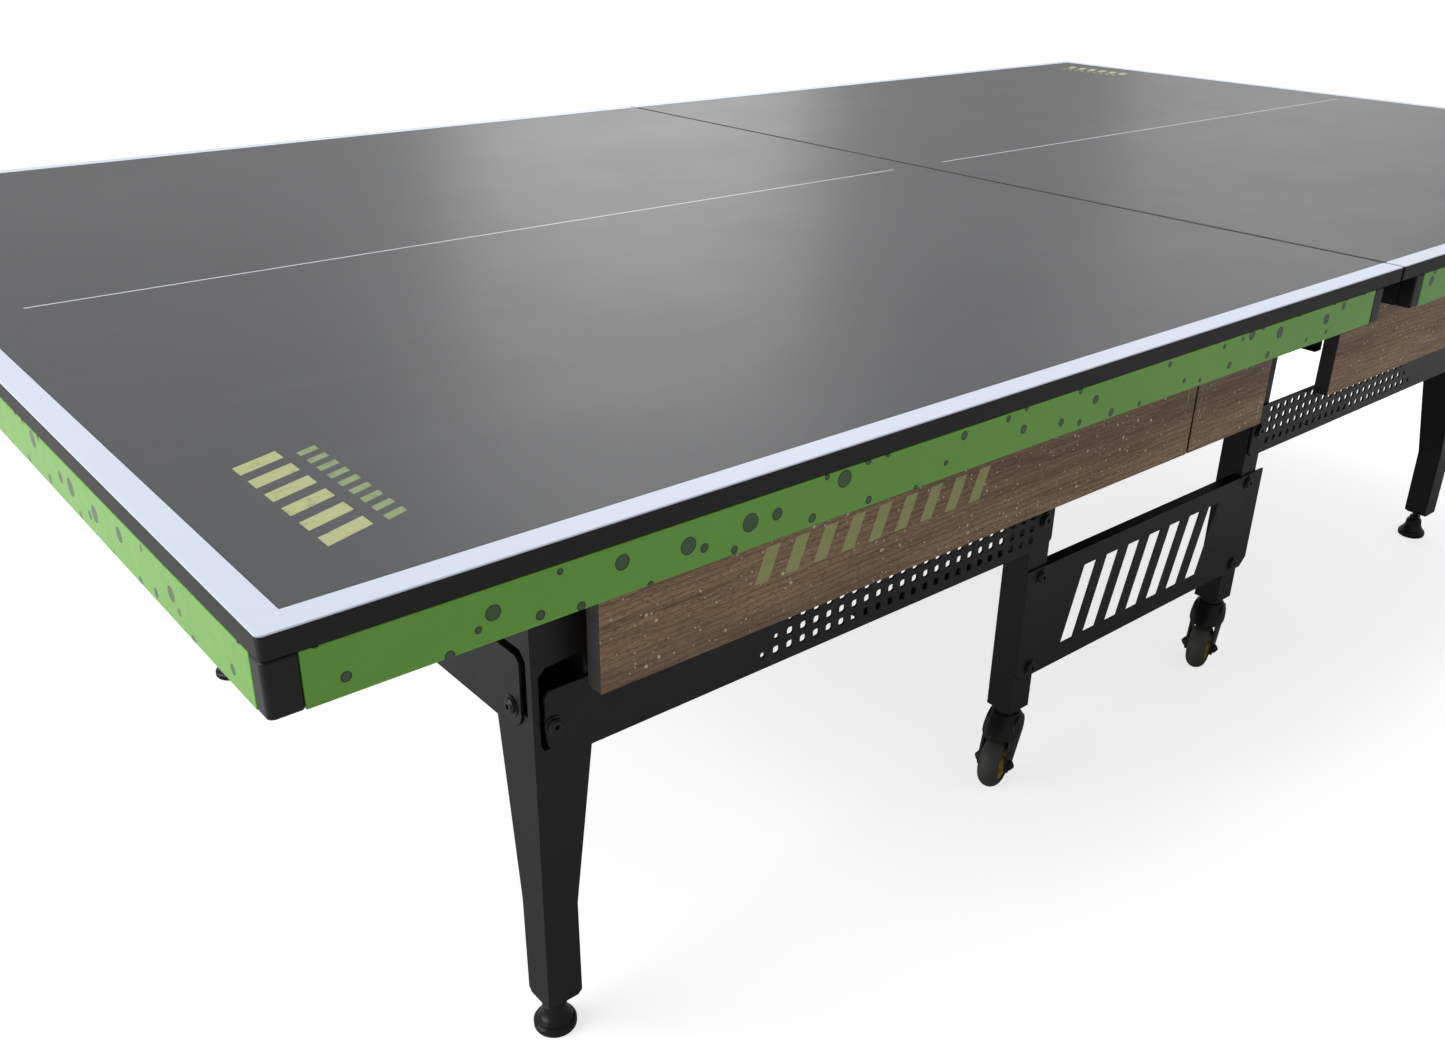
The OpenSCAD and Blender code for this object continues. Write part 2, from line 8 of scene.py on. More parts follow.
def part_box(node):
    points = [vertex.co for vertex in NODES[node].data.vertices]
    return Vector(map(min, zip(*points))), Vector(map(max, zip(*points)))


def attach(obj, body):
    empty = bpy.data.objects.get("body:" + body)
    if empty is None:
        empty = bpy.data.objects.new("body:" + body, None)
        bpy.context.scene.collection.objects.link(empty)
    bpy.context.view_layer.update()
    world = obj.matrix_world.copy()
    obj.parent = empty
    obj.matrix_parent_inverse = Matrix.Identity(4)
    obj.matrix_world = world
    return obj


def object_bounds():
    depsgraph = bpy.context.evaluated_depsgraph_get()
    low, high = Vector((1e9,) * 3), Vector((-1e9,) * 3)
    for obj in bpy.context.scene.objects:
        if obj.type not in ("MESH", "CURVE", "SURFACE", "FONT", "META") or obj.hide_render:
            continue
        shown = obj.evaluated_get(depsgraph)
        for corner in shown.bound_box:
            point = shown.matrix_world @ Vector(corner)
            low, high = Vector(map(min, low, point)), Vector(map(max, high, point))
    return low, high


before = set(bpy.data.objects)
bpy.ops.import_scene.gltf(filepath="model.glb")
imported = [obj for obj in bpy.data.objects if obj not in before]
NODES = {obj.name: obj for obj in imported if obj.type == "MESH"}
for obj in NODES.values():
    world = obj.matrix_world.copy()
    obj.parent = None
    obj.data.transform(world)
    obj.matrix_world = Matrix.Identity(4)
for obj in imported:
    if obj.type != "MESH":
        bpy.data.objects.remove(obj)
CAD_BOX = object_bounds()
HALVES = ("a", "b")
SIDES = ("near", "far")
MM = 0.001
BOARD_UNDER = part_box("top_board_a")[0].z

# ------------------------------------------------------------------ camera

IMAGE_WIDTH = 1445
FOCAL_PX = 1336.1
CAMERA_AT = (-1.588, -1.4294, 1.1448)
YAW, PITCH, ROLL = 0.699, 0.446, -0.015


def make_camera():
    """A camera at a real lens's place: yaw from +Y towards +X, pitch below the horizon."""
    forward = Vector((math.sin(YAW) * math.cos(PITCH), math.cos(YAW) * math.cos(PITCH),
                      -math.sin(PITCH)))
    level = Vector((math.cos(YAW), -math.sin(YAW), 0))
    down = forward.cross(level)
    right = math.cos(ROLL) * level + math.sin(ROLL) * down
    drop = -math.sin(ROLL) * level + math.cos(ROLL) * down
    data = bpy.data.cameras.new("camera")
    data.sensor_fit = "HORIZONTAL"
    data.sensor_width = 36
    data.lens = 36 * FOCAL_PX / IMAGE_WIDTH
    data.clip_start, data.clip_end = 0.02, 200
    camera = bpy.data.objects.new("camera", data)
    turn = Matrix((right, -drop, -forward)).transposed().to_4x4()
    camera.matrix_world = Matrix.Translation(CAMERA_AT) @ turn
    bpy.context.scene.collection.objects.link(camera)
    bpy.context.scene.camera = camera


make_camera()
bpy.context.scene.view_settings.view_transform = "Standard"

# ------------------------------------------------------------------ materials


class Nodes:
    """A short way to write a node tree: each call makes a node and returns its output."""

    def __init__(self, name):
        self.material = bpy.data.materials.new(name)
        self.material.use_nodes = True
        self.tree = self.material.node_tree
        self.tree.nodes.clear()
        self.bsdf = self.tree.nodes.new("ShaderNodeBsdfPrincipled")
        out = self.tree.nodes.new("ShaderNodeOutputMaterial")
        self.tree.links.new(self.bsdf.outputs[0], out.inputs[0])

    def put(self, socket, value):
        """Links an output to a socket, or sets a plain value on it."""
        if isinstance(value, bpy.types.NodeSocket):
            self.tree.links.new(value, socket)
        else:
            socket.default_value = value

    def node(self, kind, out=0, inputs=(), **props):
        made = self.tree.nodes.new("ShaderNode" + kind)
        for key, value in props.items():
            setattr(made, key, value)
        for key, value in dict(inputs).items():
            self.put(made.inputs[key], value)
        return made.outputs[out]

    def math(self, operation, a, b=0.0):
        return self.node("Math", operation=operation, inputs={0: a, 1: b})

    def ramp(self, value, low, high, to_low=0.0, to_high=1.0):
        """A smooth step of value between low and high."""
        return self.node("MapRange", interpolation_type="SMOOTHSTEP", clamp=True, inputs={
            0: value, 1: low, 2: high, 3: to_low, 4: to_high})

    def mix(self, factor, a, b):
        """Colour a where the factor is 0, b where it is 1."""
        made = self.tree.nodes.new("ShaderNodeMix")
        made.data_type = "RGBA"
        for key, value in ((0, factor), (6, a), (7, b)):
            self.put(made.inputs[key], value)
        return made.outputs[2]

    def place(self):
        """The point in the frame, before any pose."""
        return self.node("TexCoord", "Object")

    def split(self, vector):
        """X, Y and Z of a vector."""
        return self.node("SeparateXYZ", inputs={0: vector}).node.outputs

    def cells(self, place, scale, randomness=1.0, dimensions="3D"):
        """Voronoi cells: distance to the nearest centre, and random numbers 0 to 1 of a cell."""
        made = self.tree.nodes.new("ShaderNodeTexVoronoi")
        made.voronoi_dimensions = dimensions
        for key, value in (("Vector", place), ("Scale", scale), ("Randomness", randomness)):
            self.put(made.inputs[key], value)
        numbers = self.node("SeparateColor", inputs={0: made.outputs["Color"]}).node.outputs
        return made.outputs["Distance"], numbers

    def stretched(self, place, scale):
        """A place scaled along X, Y and Z: a small factor draws a texture out along its axis."""
        return self.node("Mapping", inputs={0: place, 3: scale})

    def noise(self, place, scale, detail=3.0, rough=0.5):
        return self.node("TexNoise", inputs={
            "Vector": place, "Scale": scale, "Detail": detail, "Roughness": rough})

    def bump(self, height, distance, strength=1.0):
        normal = self.node("Bump", inputs={
            "Height": height, "Distance": distance, "Strength": strength})
        self.put(self.bsdf.inputs["Normal"], normal)

    def set(self, **values):
        """Inputs of the surface by name, with _ for a space."""
        for key, value in values.items():
            self.put(self.bsdf.inputs[key.replace("_", " ")], value)


def grey(v):
    return (v, v, v, 1)


def srgb(r, g, b):
    """A colour as it looks on screen, 0 to 255, in linear light."""
    return (*(((c / 255 + 0.055) / 1.055) ** 2.4 if c > 10 else c / 255 / 12.92
              for c in (r, g, b)), 1)


BIG_BARS = srgb(172, 176, 124)
SMALL_BARS = srgb(126, 148, 98)
PLANK_BARS = srgb(178, 182, 118)


def slanted_bars(n, u, v, first, pitch, width, count, low, high, lean):
    """A row of count plain slanted bars: width and pitch along u, from low to high along v."""
    phase = n.math("SUBTRACT", n.math("SUBTRACT", u, first),
                   n.math("MULTIPLY", n.math("SUBTRACT", v, low), lean))
    inside = n.math("LESS_THAN", n.math("FLOORED_MODULO", phase, pitch), width)
    for value, start, end in ((v, low, high), (phase, 0.0, count * pitch)):
        for side, edge in (("GREATER_THAN", start), ("LESS_THAN", end)):
            inside = n.math("MULTIPLY", inside, n.math(side, value, edge))
    return inside


def board_material():
    """Dark satin top with pale border and centre line, black edges and raw black underside."""
    n = Nodes("table_board")
    place = n.place()
    x, y, z = n.split(place)
    top_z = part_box("top_board_a")[1].z
    half_l, half_w = CAD_BOX[1].x, CAD_BOX[1].y
    border, half_line, lip = 23.5 * MM, 1.6 * MM, 1.1 * MM
    line_start, line_end = 55 * MM, half_l - 75 * MM
    u = n.math("ABSOLUTE", x)
    v = n.math("ABSOLUTE", y)
    to_edge = n.math("MINIMUM", n.math("SUBTRACT", half_l, u), n.math("SUBTRACT", half_w, v))
    soft = n.noise(place, 2.3, 4)
    streaks = n.noise(n.stretched(place, (1.2, 14, 1)), 2.0, 5, 0.6)
    speck = n.noise(place, 420, 2)

    body = n.mix(soft, srgb(62, 63, 65), srgb(69, 70, 72))
    body = n.mix(n.ramp(streaks, 0.5, 0.72, 0, 0.5), body, srgb(72, 73, 75))
    body = n.mix(n.ramp(speck, 0.62, 0.8, 0, 0.5), body, srgb(100, 101, 103))
    centre = n.math("MULTIPLY", n.math("LESS_THAN", v, half_line),
                    n.math("MULTIPLY", n.math("GREATER_THAN", u, line_start),
                           n.math("LESS_THAN", u, line_end)))
    colour = n.mix(n.math("MULTIPLY", centre, 0.8), body, srgb(205, 208, 212))
    line = n.mix(soft, srgb(194, 203, 216), srgb(204, 212, 224))
    # A shallow groove just inside the border: the bump sinks it, and its colour is darkened
    # towards black as painted shade in the recess.
    groove_with_painted_shade = n.ramp(to_edge, border, border + 2.2 * MM, 0.55, 0)
    colour = n.mix(groove_with_painted_shade, colour, grey(0.03))
    colour = n.mix(n.math("LESS_THAN", to_edge, border), colour, line)

    across = n.math("MULTIPLY", y, n.math("SIGN", x))
    worn = n.ramp(n.noise(place, 95, 4, 0.7), 0.33, 0.46, 0.6, 0.95)
    big_row = dict(first=0.505, pitch=0.029, width=0.016, count=6, low=1.25, high=1.288)
    small_row = dict(first=0.512, pitch=0.0175, width=0.0085, count=9, low=1.222, high=1.239)
    for row, shade in ((big_row, BIG_BARS), (small_row, SMALL_BARS)):
        bars = slanted_bars(n, across, u, lean=0.35, **row)
        colour = n.mix(n.math("MULTIPLY", bars, worn), colour, shade)

    edge = n.mix(soft, srgb(13, 13, 14), srgb(21, 21, 21))
    is_top = n.math("GREATER_THAN", z, top_z - lip)
    colour = n.mix(is_top, edge, colour)
    rough = n.math("ADD", n.ramp(streaks, 0.3, 0.75, 0.4, 0.415),
                   n.ramp(n.noise(place, 6, 5, 0.65), 0.35, 0.7, 0, 0.02))
    n.set(Base_Color=colour, Specular_IOR_Level=0.3, Roughness=n.math(
        "ADD", rough, n.math("MULTIPLY", n.math("LESS_THAN", to_edge, border), 0.1)))
    n.bump(n.math("ADD", n.noise(place, 900, 2), n.math("MULTIPLY", groove_with_painted_shade, -2.0)), 0.05 * MM, 0.6)
    return n.material


def apron_material():
    """Green rails with scattered darker dots of many sizes."""
    n = Nodes("apron_green")
    place = n.place()
    x, y, z = n.split(place)
    along = n.math("ADD", x, y)
    flat = n.node("CombineXYZ", inputs={0: along, 1: z})
    soft = n.noise(place, 7, 4)
    colour = n.mix(soft, srgb(94, 160, 36), srgb(108, 173, 50))
    dots, rims = 0.0, 0.0
    for scale, smallest, biggest, empty in ((20, 4.4, 7.8, 0.55), (29, 2.6, 4.2, 0.4)):
        distance, numbers = n.cells(flat, scale, 0.8, "2D")
        radius = n.ramp(numbers[0], 0, 1, smallest * MM, biggest * MM)
        radius = n.math("MULTIPLY", radius, n.math("GREATER_THAN", numbers[1], empty))
        inward = n.math("SUBTRACT", radius, n.math("DIVIDE", distance, scale))
        dot = n.ramp(inward, 0, 0.2 * MM)
        rim = n.math("MULTIPLY", dot, n.ramp(inward, 0.8 * MM, 1.4 * MM, 1, 0))
        dots, rims = n.math("MAXIMUM", dots, dot), n.math("MAXIMUM", rims, rim)
    colour = n.mix(dots, colour, srgb(38, 82, 26))
    colour = n.mix(rims, colour, srgb(13, 30, 10))
    n.set(Base_Color=colour, Roughness=n.ramp(n.noise(place, 60, 4), 0.3, 0.7, 0.38, 0.46))
    n.set(Specular_IOR_Level=0.4, Coat_Weight=0.35, Coat_Roughness=0.3)
    n.bump(n.math("ADD", n.noise(place, 650, 3), n.math("MULTIPLY", dots, -0.4)), 0.08 * MM, 0.7)
    return n.material


def plank_material():
    """Weathered brown wood: fine wavy grain, darker streaks and knots, pale specks, scratches; its
    edge faces are dark grey painted shade.
    """
    n = Nodes("plank_wood")
    place = n.place()
    x, y, z = n.split(place)
    warp = n.noise(n.stretched(place, (2.2, 1, 9)), 1.0, 3)
    wavy = n.math("ADD", z, n.math("MULTIPLY", n.math("SUBTRACT", warp, 0.5), 0.08))
    grain_at = n.node("CombineXYZ", inputs={0: n.math("MULTIPLY", x, 3.0), 1: y,
                                            2: n.math("MULTIPLY", wavy, 52)})
    grain = n.noise(grain_at, 1.0, 6, 0.68)
    fine = n.noise(n.stretched(place, (9, 20, 420)), 1.0, 4, 0.7)
    board = n.noise(n.stretched(place, (1.1, 1, 7)), 1.3, 3)
    rings = n.node("TexWave", wave_type="RINGS", rings_direction="SPHERICAL", inputs={
        "Vector": n.stretched(place, (2.6, 0.1, 21)), "Scale": 2.1, "Distortion": 5.0,
        "Detail": 3.0, "Detail Scale": 1.4})

    pores = n.noise(n.stretched(place, (170, 20, 420)), 1.0, 4, 0.6)
    colour = n.mix(n.ramp(grain, 0.25, 0.75), srgb(122, 92, 62), srgb(182, 147, 108))
    colour = n.mix(n.ramp(fine, 0.4, 0.75, 0, 0.4), colour, srgb(194, 165, 130))
    colour = n.mix(n.ramp(pores, 0.36, 0.54, 0.5, 0), colour, srgb(84, 65, 48))
    colour = n.mix(n.ramp(board, 0.46, 0.66, 0, 0.5), colour, srgb(96, 75, 58))
    colour = n.mix(n.ramp(rings, 0.74, 0.98, 0, 0.4), colour, srgb(74, 57, 46))
    for scale, empty, biggest in ((68, 0.1, 0.15), (150, 0.3, 0.2)):
        distance, numbers = n.cells(n.stretched(place, (1, 0.2, 1)), scale)
        speck = n.math("LESS_THAN", distance, n.ramp(numbers[0], empty, 1, 0, biggest))
        colour = n.mix(n.math("MULTIPLY", speck, 0.8), colour, srgb(226, 219, 204))
    scratch_at = n.noise(n.stretched(place, (130, 0.1, 0.8)), 1.0, 1)
    broken = n.noise(n.stretched(place, (60, 1, 260)), 1.0, 1)
    stretch = n.ramp(n.noise(n.stretched(place, (5, 1, 11)), 1.0, 1), 0.5, 0.52)
    scratch = n.math("MULTIPLY", n.ramp(scratch_at, 0.735, 0.742), n.ramp(broken, 0.48, 0.53))
    scratch = n.math("MULTIPLY", scratch, stretch)
    colour = n.mix(n.math("MULTIPLY", scratch, 0.7), colour, srgb(220, 212, 198))

    inward = n.math("MULTIPLY", n.math("ABSOLUTE", x), -1.0)
    bars = slanted_bars(n, inward, z, first=-0.79, pitch=0.041, width=0.019, count=9,
                        low=0.505, high=0.544, lean=0.4)
    full_plank = n.math("GREATER_THAN", n.math("MULTIPLY", x, y), 0.0)
    outer_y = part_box("plank_a_near")[0].y
    outside = n.math("GREATER_THAN", n.math("ABSOLUTE", y), -outer_y - 1.5 * MM)
    bars = n.math("MULTIPLY", bars, n.math("MULTIPLY", full_plank, outside))
    paint = n.math("MULTIPLY", bars, n.ramp(grain, 0.3, 0.46, 0.45, 0.88))
    colour = n.mix(paint, colour, PLANK_BARS)

    normal = n.split(n.node("TexCoord", "Normal"))
    is_face = n.math("GREATER_THAN", n.math("ABSOLUTE", normal[1]), 0.6)
    # The narrow edge faces, away from the broad faces, are coloured dark grey as painted shade,
    # not in the wood's own colour.
    painted_shade_edge = n.mix(n.noise(place, 300, 3), srgb(40, 38, 37), srgb(58, 55, 53))
    n.set(Base_Color=n.mix(is_face, painted_shade_edge, colour),
          Roughness=n.ramp(grain, 0.3, 0.7, 0.62, 0.48))
    height = n.math("ADD", n.math("ADD", grain, n.math("MULTIPLY", fine, 0.5)),
                    n.math("MULTIPLY", pores, 1.3))
    n.bump(n.math("SUBTRACT", height, n.math("MULTIPLY", speck, 0.3)), 0.6 * MM, 0.7)
    return n.material


def steel_material(name, shade, rough, pebble=1100.0, depth=0.04 * MM):
    """Powder coat: fine pebbled skin, slightly uneven colour, a little dust on top."""
    n = Nodes(name)
    place = n.place()
    soft = n.noise(place, 9, 5, 0.6)
    colour = n.mix(soft, grey(shade * 0.8), grey(shade * 1.25))
    colour = n.mix(n.ramp(n.noise(place, 260, 2), 0.66, 0.8, 0, 0.25), colour, grey(shade * 4))
    n.set(Base_Color=colour, Roughness=n.ramp(soft, 0.3, 0.7, rough - 0.04, rough + 0.05))
    n.set(Specular_IOR_Level=0.28)
    n.bump(n.noise(place, pebble, 2), depth, 0.8)
    return n.material


def rubber_material():
    n = Nodes("tyre_rubber")
    place = n.place()
    soft = n.noise(place, 40, 4, 0.6)
    colour = n.mix(soft, srgb(46, 48, 44), srgb(66, 68, 62))
    colour = n.mix(n.ramp(n.noise(place, 300, 4, 0.7), 0.55, 0.75, 0, 0.5), colour,
                   srgb(98, 96, 88))
    n.set(Base_Color=colour, Roughness=n.ramp(soft, 0.3, 0.7, 0.55, 0.72))
    n.bump(n.noise(place, 500, 3), 0.1 * MM, 0.6)
    return n.material


def hub_material():
    n = Nodes("hub_yellow")
    place = n.place()
    soft = n.noise(place, 60, 4)
    colour = n.mix(soft, srgb(170, 146, 36), srgb(206, 184, 66))
    colour = n.mix(n.ramp(n.noise(place, 190, 4, 0.7), 0.52, 0.7, 0, 0.6), colour,
                   srgb(84, 74, 38))
    n.set(Base_Color=colour, Roughness=n.ramp(soft, 0.3, 0.7, 0.38, 0.5))
    n.bump(n.noise(place, 700, 2), 0.04 * MM, 0.6)
    return n.material


BOARD = board_material()
APRON = apron_material()
PLANK = plank_material()
STEEL = steel_material("frame_powder_coat", 0.0075, 0.42)
EDGE_BLACK = steel_material("corner_black", 0.006, 0.42, 700.0)
BOLT_BLACK = steel_material("bolt_black_oxide", 0.012, 0.3, 1500.0, 0.02 * MM)
FOOT_BLACK = steel_material("foot_moulded", 0.008, 0.34, 800.0, 0.02 * MM)
RUBBER = rubber_material()
HUB = hub_material()

# The start of a node's name, its material and how far its edges are rounded, in mm.
LOOKS = (
    ("top_board", BOARD, 1.4), ("side_rail", APRON, 0.8), ("end_rail", APRON, 0.8),
    ("net_rail", EDGE_BLACK, 0.8), ("corner_blocks", EDGE_BLACK, 2.2), ("plank", PLANK, 0.9),
    ("foot", FOOT_BLACK, 0), ("caster_tyre", RUBBER, 0), ("caster_hub", HUB, 0),
    ("panel_bolts", BOLT_BLACK, 0), ("fold_hinge", BOLT_BLACK, 0),
    ("beam_pivot", BOLT_BLACK, 0), ("leg_bolts", BOLT_BLACK, 0), ("side_beam", STEEL, 0.4),
    ("side_panel", STEEL, 0.6), ("leg", STEEL, 0.6), ("end_beam", STEEL, 0.6),
    ("cross_tube", STEEL, 2.5), ("post", STEEL, 2), ("", STEEL, 0.4),
)


def soften(node, width):
    """Rounds a node's hard edges, once its facets are welded and its flat faces are joined."""
    weld = node.modifiers.new("weld", "WELD")
    weld.merge_threshold = 0.01 * MM
    flat = node.modifiers.new("join_flat_faces", "DECIMATE")
    flat.decimate_type, flat.angle_limit = "DISSOLVE", math.radians(0.3)
    bevel = node.modifiers.new("round_edges", "BEVEL")
    bevel.width, bevel.segments = width, 2
    bevel.limit_method, bevel.angle_limit = "ANGLE", math.radians(40)
    bevel.harden_normals = True


for name, node in NODES.items():
    start, material, width = next(look for look in LOOKS if name.startswith(look[0]))
    node.data.materials.clear()
    node.data.materials.append(material)
    if width:
        soften(node, width * MM)

# ------------------------------------------------------------------ added pieces

# Distances from the table's middle: outer edges of the plank hangers, middles of the angles.
HANGER_WIDE, HANGER_THICK = 40 * MM, 3 * MM
FULL_PLANK_HANGERS_X = (0.930, 0.560, 0.100)
SHORT_PLANK_HANGERS_X = (0.930, 0.425, 0.184, 0.100)
SIDE_ANGLES_X = (1.31, 1.06, 0.78, 0.47, 0.14)
END_ANGLES_Y = (-0.69, -0.36, 0, 0.36, 0.69)

# Heights of the posts' tops and of the flat ears that carry the fold hinges.
POST_TOP = 690 * MM
EAR_THICK, EAR_LOW, EAR_HIGH = 4 * MM, 643 * MM, 688 * MM


def add_piece(name, shape, material, body, smooth=35):
    """Makes an object from a bmesh drawn in the frame, in metres, and lets it ride on a body."""
    bmesh.ops.remove_doubles(shape, verts=shape.verts, dist=1e-7)
    bmesh.ops.recalc_face_normals(shape, faces=shape.faces)
    mesh = bpy.data.meshes.new(name)
    shape.to_mesh(mesh)
    shape.free()
    mesh.shade_smooth()
    mesh.set_sharp_from_angle(angle=math.radians(smooth))
    piece = bpy.data.objects.new(name, mesh)
    bpy.context.scene.collection.objects.link(piece)
    mesh.materials.append(material)
    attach(piece, body)


def loft(shape, rings, place=Matrix()):
    """Joins equal rings of points one after the other and closes both ends."""
    rows = [[shape.verts.new(place @ Vector(p)) for p in ring] for ring in rings]
    for low, high in zip(rows, rows[1:]):
        for k in range(len(low)):
            shape.faces.new((low[k - 1], low[k], high[k], high[k - 1]))
    shape.faces.new(rows[0][::-1])
    shape.faces.new(rows[-1])


def circle(radius, z, steps):
    turns = [math.tau * k / steps for k in range(steps)]
    return [(radius * math.cos(t), radius * math.sin(t), z) for t in turns]


def rounded_square(half, radius, z, steps=4):
    """A square with round corners at height z."""
    ring = []
    for k, (sx, sy) in enumerate(((1, 1), (-1, 1), (-1, -1), (1, -1))):
        for step in range(steps + 1):
            t = (k + step / steps) * math.pi / 2
            ring.append((sx * (half - radius) + radius * math.cos(t),
                         sy * (half - radius) + radius * math.sin(t), z))
    return ring


def facing(at, direction):
    """The place of a thing drawn on the Z axis that points along direction."""
    return Matrix.Translation(at) @ Vector(direction).to_track_quat("Z", "Y").to_matrix().to_4x4()


def turned(shape, profile, place, steps, scale=MM):
    """A closed solid of revolution: the profile is radius, height from one end to the other."""
    loft(shape, [circle(r * scale, h * scale, steps) for r, h in profile], place)


def screw(shape, at, direction, size=1.0):
    """Pan head screw with a round drive recess, standing on its point of contact."""
    profile = ((4.2, -0.3), (4.2, 0.5), (3.9, 1.3), (3.0, 2.0), (1.9, 2.35), (1.6, 2.3),
               (1.35, 0.9), (0.5, 0.7))
    turned(shape, profile, facing(at, direction), 20, size * MM)


def weld_bead(shape, start, end, radius, out):
    """Overlapping ripples between two points, sunk into the corner; out points away from it."""
    start, end, out = Vector(start), Vector(end), Vector(out).normalized()
    side = (end - start).normalized().cross(out)
    count = max(4, round((end - start).length / (0.9 * MM)))
    turns = [math.tau * m / 10 for m in range(10)]
    rings = []
    for k in range(count + 1):
        at = start.lerp(end, k / count)
        taper = min(1, 3 * min(k, count - k) / count + 0.35)
        swell = radius * taper * (1 + 0.16 * math.cos(k * math.tau / 3.2))
        rings.append([at + swell * (math.cos(t) * out + math.sin(t) * side) for t in turns])
    loft(shape, rings)


def half_sign(half):
    return -1 if half == "a" else 1


def side_sign(side):
    return -1 if side == "near" else 1


def post_middle(half, side):
    """Where a post's centre line meets the floor, and its width: its ear is on the inside."""
    low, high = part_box("post_%s_%s" % (half, side))
    wide = high.y - low.y
    x = low.x + wide / 2 if half == "a" else high.x - wide / 2
    return Vector((x, (low.y + high.y) / 2, 0)), wide


def steel_angle(shape, at, away):
    """Angle with four screws between the board's underside and a rail, on the side away."""
    at, away, under = Vector(at), Vector(away), Vector((0, 0, -1))
    across = away.cross(under)
    width, leg, thick, screw_at = 28 * MM, 28 * MM, 2 * MM, 18 * MM
    fillet = thick + 2 * MM
    outline = [(0, 0), (leg, 0), (leg, thick), (fillet, thick), (thick, fillet), (thick, leg),
               (0, leg)]
    loft(shape, [[at + away * a + under * b + across * c for a, b in outline]
                 for c in (-width / 2, width / 2)])
    for c in (-0.27 * width, 0.27 * width):
        screw(shape, at + across * c + away * screw_at + under * thick, under, 0.85)
        screw(shape, at + across * c + under * screw_at + away * thick, away, 0.85)


def add_angles(half):
    """Angles that hold the apron rails to the underside of one half."""
    sign = half_sign(half)
    side_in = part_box("side_rail_%s_near" % half)[1].y
    end_low, end_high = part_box("end_rail_" + half)
    end_in = end_high.x if half == "a" else end_low.x
    shape = bmesh.new()
    for side in SIDES:
        inward = -side_sign(side)
        for x in SIDE_ANGLES_X:
            steel_angle(shape, (sign * x, inward * side_in, BOARD_UNDER), (0, inward, 0))
    for y in END_ANGLES_Y:
        steel_angle(shape, (end_in, y, BOARD_UNDER), (-sign, 0, 0))
    add_piece("rail_angles_" + half, shape, STEEL, "half_" + half)


def add_hanger_screws(half):
    """Screws through the plank hangers, and up through their feet into the board."""
    shape = bmesh.new()
    plank_low, plank_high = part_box("plank_a_near")
    plank_back = -plank_high.y
    for side in SIDES:
        full_plank = (half == "a") == (side == "near")
        inner = side_sign(side) * (plank_back - HANGER_THICK)
        for x in FULL_PLANK_HANGERS_X if full_plank else SHORT_PLANK_HANGERS_X:
            middle = half_sign(half) * (x - HANGER_WIDE / 2)
            for height in (45 * MM, 110 * MM, 175 * MM):
                screw(shape, (middle, inner, plank_low.z + height), (0, -side_sign(side), 0))
            for depth in (9 * MM, 21 * MM):
                outer = side_sign(side) * (plank_back + depth)
                screw(shape, (middle, outer, BOARD_UNDER - HANGER_THICK), (0, 0, -1))
    add_piece("hanger_screws_" + half, shape, BOLT_BLACK, "half_" + half)


def add_post_trim():
    """Plastic caps on the posts and weld beads at the cross tubes and hinge ears."""
    # Half the cap's width and the height above the post, in mm.
    cap_levels = ((19.9, 0), (20, 0.8), (19.8, 2.2), (18.8, 3.2), (16, 3.9), (8, 4.3))
    tube_bead, ear_bead, inset = 2.1 * MM, 1.9 * MM, 2 * MM
    caps, beads = bmesh.new(), bmesh.new()
    for half in HALVES:
        tube_low, tube_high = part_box("cross_tube_" + half)
        for side in SIDES:
            middle, wide = post_middle(half, side)
            loft(caps, [rounded_square(r * MM, min(r * 0.4, 3) * MM, POST_TOP + h * MM)
                        for r, h in cap_levels], Matrix.Translation(middle))
            inward = Vector((-half_sign(half), -side_sign(side), 0))
            inner = middle + inward * wide / 2
            for z, lift in ((tube_high.z, 1), (tube_low.z, -1)):
                weld_bead(beads, (middle.x - wide / 2 + inset, inner.y, z),
                          (middle.x + wide / 2 - inset, inner.y, z), tube_bead,
                          (0, inward.y, lift))
            for face in (-1, 1):
                y = middle.y + face * EAR_THICK / 2
                weld_bead(beads, (inner.x, y, EAR_LOW), (inner.x, y, EAR_HIGH), ear_bead,
                          (inward.x, 2 * face, 0))
    add_piece("post_caps", caps, FOOT_BLACK, "carriage")
    add_piece("weld_beads", beads, STEEL, "carriage", smooth=80)


def add_caster_hood(half, side):
    """Bell-shaped swivel housing over the fork, longer towards the wheel, and axle caps."""
    name = "%s_%s" % (half, side)
    axis, post_wide = post_middle(half, side)
    tyre_low, tyre_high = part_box("caster_tyre_" + name)
    wheel = (tyre_low + tyre_high) / 2
    turn = math.atan2(axis.y - wheel.y, axis.x - wheel.x)
    place = Matrix.Translation(axis) @ Matrix.Rotation(turn, 4, "Z")
    # Shift towards the wheel, half length, half width and height of the housing, in mm.
    levels = ((0, 17.2, 17.2, 110), (0, 19.5, 19.5, 108.8), (0, 21.5, 21.5, 106),
              (-0.5, 25, 24, 102), (-2, 28.5, 25.4, 97), (-4.5, 32, 26.2, 91),
              (-7, 35, 26.6, 85), (-8.5, 36.6, 26.4, 81), (-8.6, 36.2, 26, 79.6),
              (-8.4, 33, 23, 79.2))
    turns = [math.tau * k / 40 for k in range(40)]
    rings = [[((shift + rx * math.cos(t)) * MM, ry * math.sin(t) * MM, z * MM) for t in turns]
             for shift, rx, ry, z in levels]
    hood = bmesh.new()
    loft(hood, rings[::-1], place)
    turned(hood, ((16.2, 109), (16.4, 115.4), (15.6, 116.6), (14, 116.8)), place, 32)
    add_piece("caster_hood_" + name, hood, FOOT_BLACK, "caster_" + name)
    cap_profile = ((7.6, 21.4), (7.8, 22), (7.2, 24.4), (5.6, 26.2), (3.2, 27.4), (0.8, 27.8))
    caps = bmesh.new()
    for sign in (-1, 1):
        turned(caps, cap_profile, facing(wheel, place.to_3x3() @ Vector((0, sign, 0))), 28)
    add_piece("axle_caps_" + name, caps, FOOT_BLACK, "caster_" + name)


